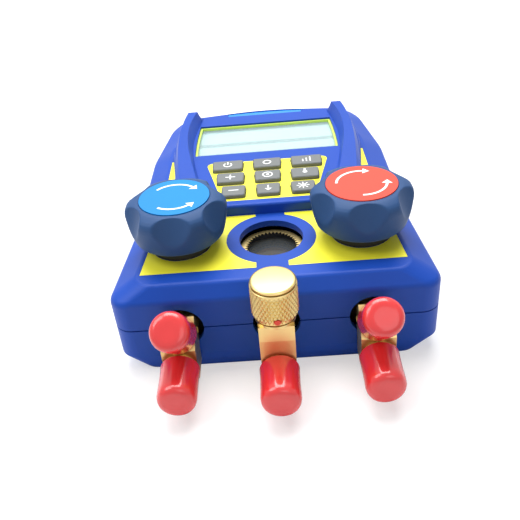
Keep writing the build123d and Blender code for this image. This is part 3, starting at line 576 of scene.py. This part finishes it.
for number, (name, (start, axis)) in enumerate(sorted(vinylCaps.items())):
    across = Vector((1, 0, 0))
    other = axis.cross(across)
    bm = bmesh.new()
    rows = []
    for index, (radius, along) in enumerate(vinylOutline):
        row = []
        for i in range(vinyl["steps"]):
            t = 2 * math.pi * i / vinyl["steps"]
            dent = vinyl["squash"] * (1 + math.sin(2 * t + number)) * along / vinyl["length"]
            soft = 1.0 if index < vinyl["firmRows"] else 1 - dent
            spoke = across * math.cos(t) + other * math.sin(t)
            row.append(bm.verts.new(start + axis * along + spoke * radius * soft))
        rows.append(row)
    for lower, upper in zip(rows, rows[1:]):
        for i in range(vinyl["steps"]):
            j = (i + 1) % vinyl["steps"]
            bm.faces.new((lower[i], lower[j], upper[j], upper[i]))
    bm.faces.new(list(reversed(rows[0])))
    bm.faces.new(rows[-1])
    mesh = finishMesh(bm, "sleeve_" + name)
    smoothFaces(mesh, vinyl["sharp"])
    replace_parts(pieceFrom("sleeve_" + name, mesh, "vinyl_red", name), name)
print("vinyl caps:", len(vinylCaps))


# Cross drives on the screws in the base, drawn as thin black crosses: painted shade of the recesses
driveShade = {"arm": 2.6, "width": 0.6, "depth": 0.00004, "flat": 0.00001, "apart": 0.008}
bm = bmesh.new()
for group in ("case_screws", "mount_screws"):
    points = [v.co.copy() for v in nodes[group].data.vertices]
    lowest = min(point.z for point in points)
    heads = []
    for point in points:
        if point.z > lowest + driveShade["flat"]:
            continue
        near = [head for head in heads if (head[0] - point).length < driveShade["apart"]]
        if near:
            near[0].append(point)
        else:
            heads.append([point])
    for head in heads:
        x = (min(q.x for q in head) + max(q.x for q in head)) / 2
        y = (min(q.y for q in head) + max(q.y for q in head)) / 2
        place = printPlace(x, y, lowest - driveShade["depth"] / 2)
        addPlate(bm, bar(-driveShade["arm"] / 2, 0, driveShade["arm"] / 2, 0, driveShade["width"]), place, driveShade["depth"])
        addPlate(bm, bar(0, -driveShade["arm"] / 2, 0, driveShade["arm"] / 2, driveShade["width"]), place, driveShade["depth"])
# The black cross plates are painted shade where the drive recesses would be
pieceFrom("screw_drive_shade", finishMesh(bm, "screw_drive_shade"), "seal_black", "case")
print("screw drives set")


# Room, light and camera
view = {"place": (0.0032, -0.2568, 0.1674), "yaw": -2.31, "pitch": 34.76, "roll": -5.41, "lens": 44.3,
        "sensor": 36.0}
camera = bpy.data.objects.new("camera", bpy.data.cameras.new("camera"))
scene.collection.objects.link(camera)
camera.data.lens = view["lens"]
camera.data.sensor_width = view["sensor"]
yaw, pitch, roll = (math.radians(view[key]) for key in ("yaw", "pitch", "roll"))
forward = Vector((math.sin(yaw) * math.cos(pitch), math.cos(yaw) * math.cos(pitch), -math.sin(pitch)))
right = forward.cross(Vector((0, 0, 1))).normalized()
up = right.cross(forward)
rolledRight = right * math.cos(roll) + up * math.sin(roll)
rolledUp = up * math.cos(roll) - right * math.sin(roll)
turn = Matrix((rolledRight, rolledUp, -forward)).transposed().to_4x4()
camera.matrix_world = Matrix.Translation(view["place"]) @ turn
scene.camera = camera

ground = {"span": 14.0, "sink": -0.0001, "grey": 0.86, "roughness": 0.7}
corners = [(x * ground["span"], y * ground["span"], ground["sink"])
           for x, y in ((-1, -1), (1, -1), (1, 1), (-1, 1))]
floorMesh = bpy.data.meshes.new("floor")
floorMesh.from_pydata(corners, [], [(0, 1, 2, 3)])
floor = bpy.data.objects.new("floor", floorMesh)
scene.collection.objects.link(floor)
paper = Finish("paper")
paper.shader.inputs["Base Color"].default_value = (ground["grey"], ground["grey"], ground["grey"], 1.0)
paper.shader.inputs["Roughness"].default_value = ground["roughness"]
floorMesh.materials.append(paper.material)

room = {"ambient": 0.30, "white": 1.0}
world = bpy.data.worlds.new("studio")
world.use_nodes = True
worldTree = world.node_tree
background = worldTree.nodes["Background"]
background.inputs[0].default_value = (1, 1, 1, 1)
path = worldTree.nodes.new("ShaderNodeLightPath")
shown = path.outputs["Is Camera Ray"]
for kind in ("Is Glossy Ray", "Is Transmission Ray"):
    either = worldTree.nodes.new("ShaderNodeMath")
    either.operation = "MAXIMUM"
    worldTree.links.new(shown, either.inputs[0])
    worldTree.links.new(path.outputs[kind], either.inputs[1])
    shown = either.outputs[0]
strength = worldTree.nodes.new("ShaderNodeMapRange")
strength.inputs["To Min"].default_value = room["ambient"]
strength.inputs["To Max"].default_value = room["white"]
worldTree.links.new(shown, strength.inputs["Value"])
worldTree.links.new(strength.outputs[0], background.inputs[1])
scene.world = world

# The floor keeps the shadow, and fades to plain white away from the gauge and for the camera only
glow = {"near": 0.35, "far": 1.1, "share": 0.35, "strength": 1.4}
reach = paper.node("ShaderNodeVectorMath", {"operation": "LENGTH"}, {0: paper.place})
fade = paper.node("ShaderNodeMapRange", {}, {"Value": reach.outputs["Value"], "From Min": glow["near"],
                                             "From Max": glow["far"], "To Min": glow["share"], "To Max": 1.0})
seen = Value(paper.tree, paper.node("ShaderNodeLightPath").outputs["Is Camera Ray"])
light = paper.node("ShaderNodeEmission", {}, {"Strength": glow["strength"]})
share = seen * Value(paper.tree, fade.outputs[0])
mixed = paper.node("ShaderNodeMixShader", {}, {0: share, 1: paper.shader.outputs[0], 2: light.outputs[0]})
paper.tree.links.new(mixed.outputs[0], paper.tree.nodes["Material Output"].inputs["Surface"])

# name: (place, power in watts, size)
lamps = {"over": ((0.0, 0.30, 0.80), 11.0, 0.7), "left": ((-0.45, -0.10, 0.55), 2.2, 0.4),
         "front": ((0.25, -0.60, 0.45), 0.6, 0.4)}
aim = Vector((0, 0, 0.02))
for name, (place, power, size) in lamps.items():
    lamp = bpy.data.lights.new(name, "AREA")
    lamp.energy = power
    lamp.size = size
    light = bpy.data.objects.new(name, lamp)
    light.location = place
    light.rotation_euler = (aim - Vector(place)).to_track_quat("-Z", "Y").to_euler()
    scene.collection.objects.link(light)
print("room and camera set")
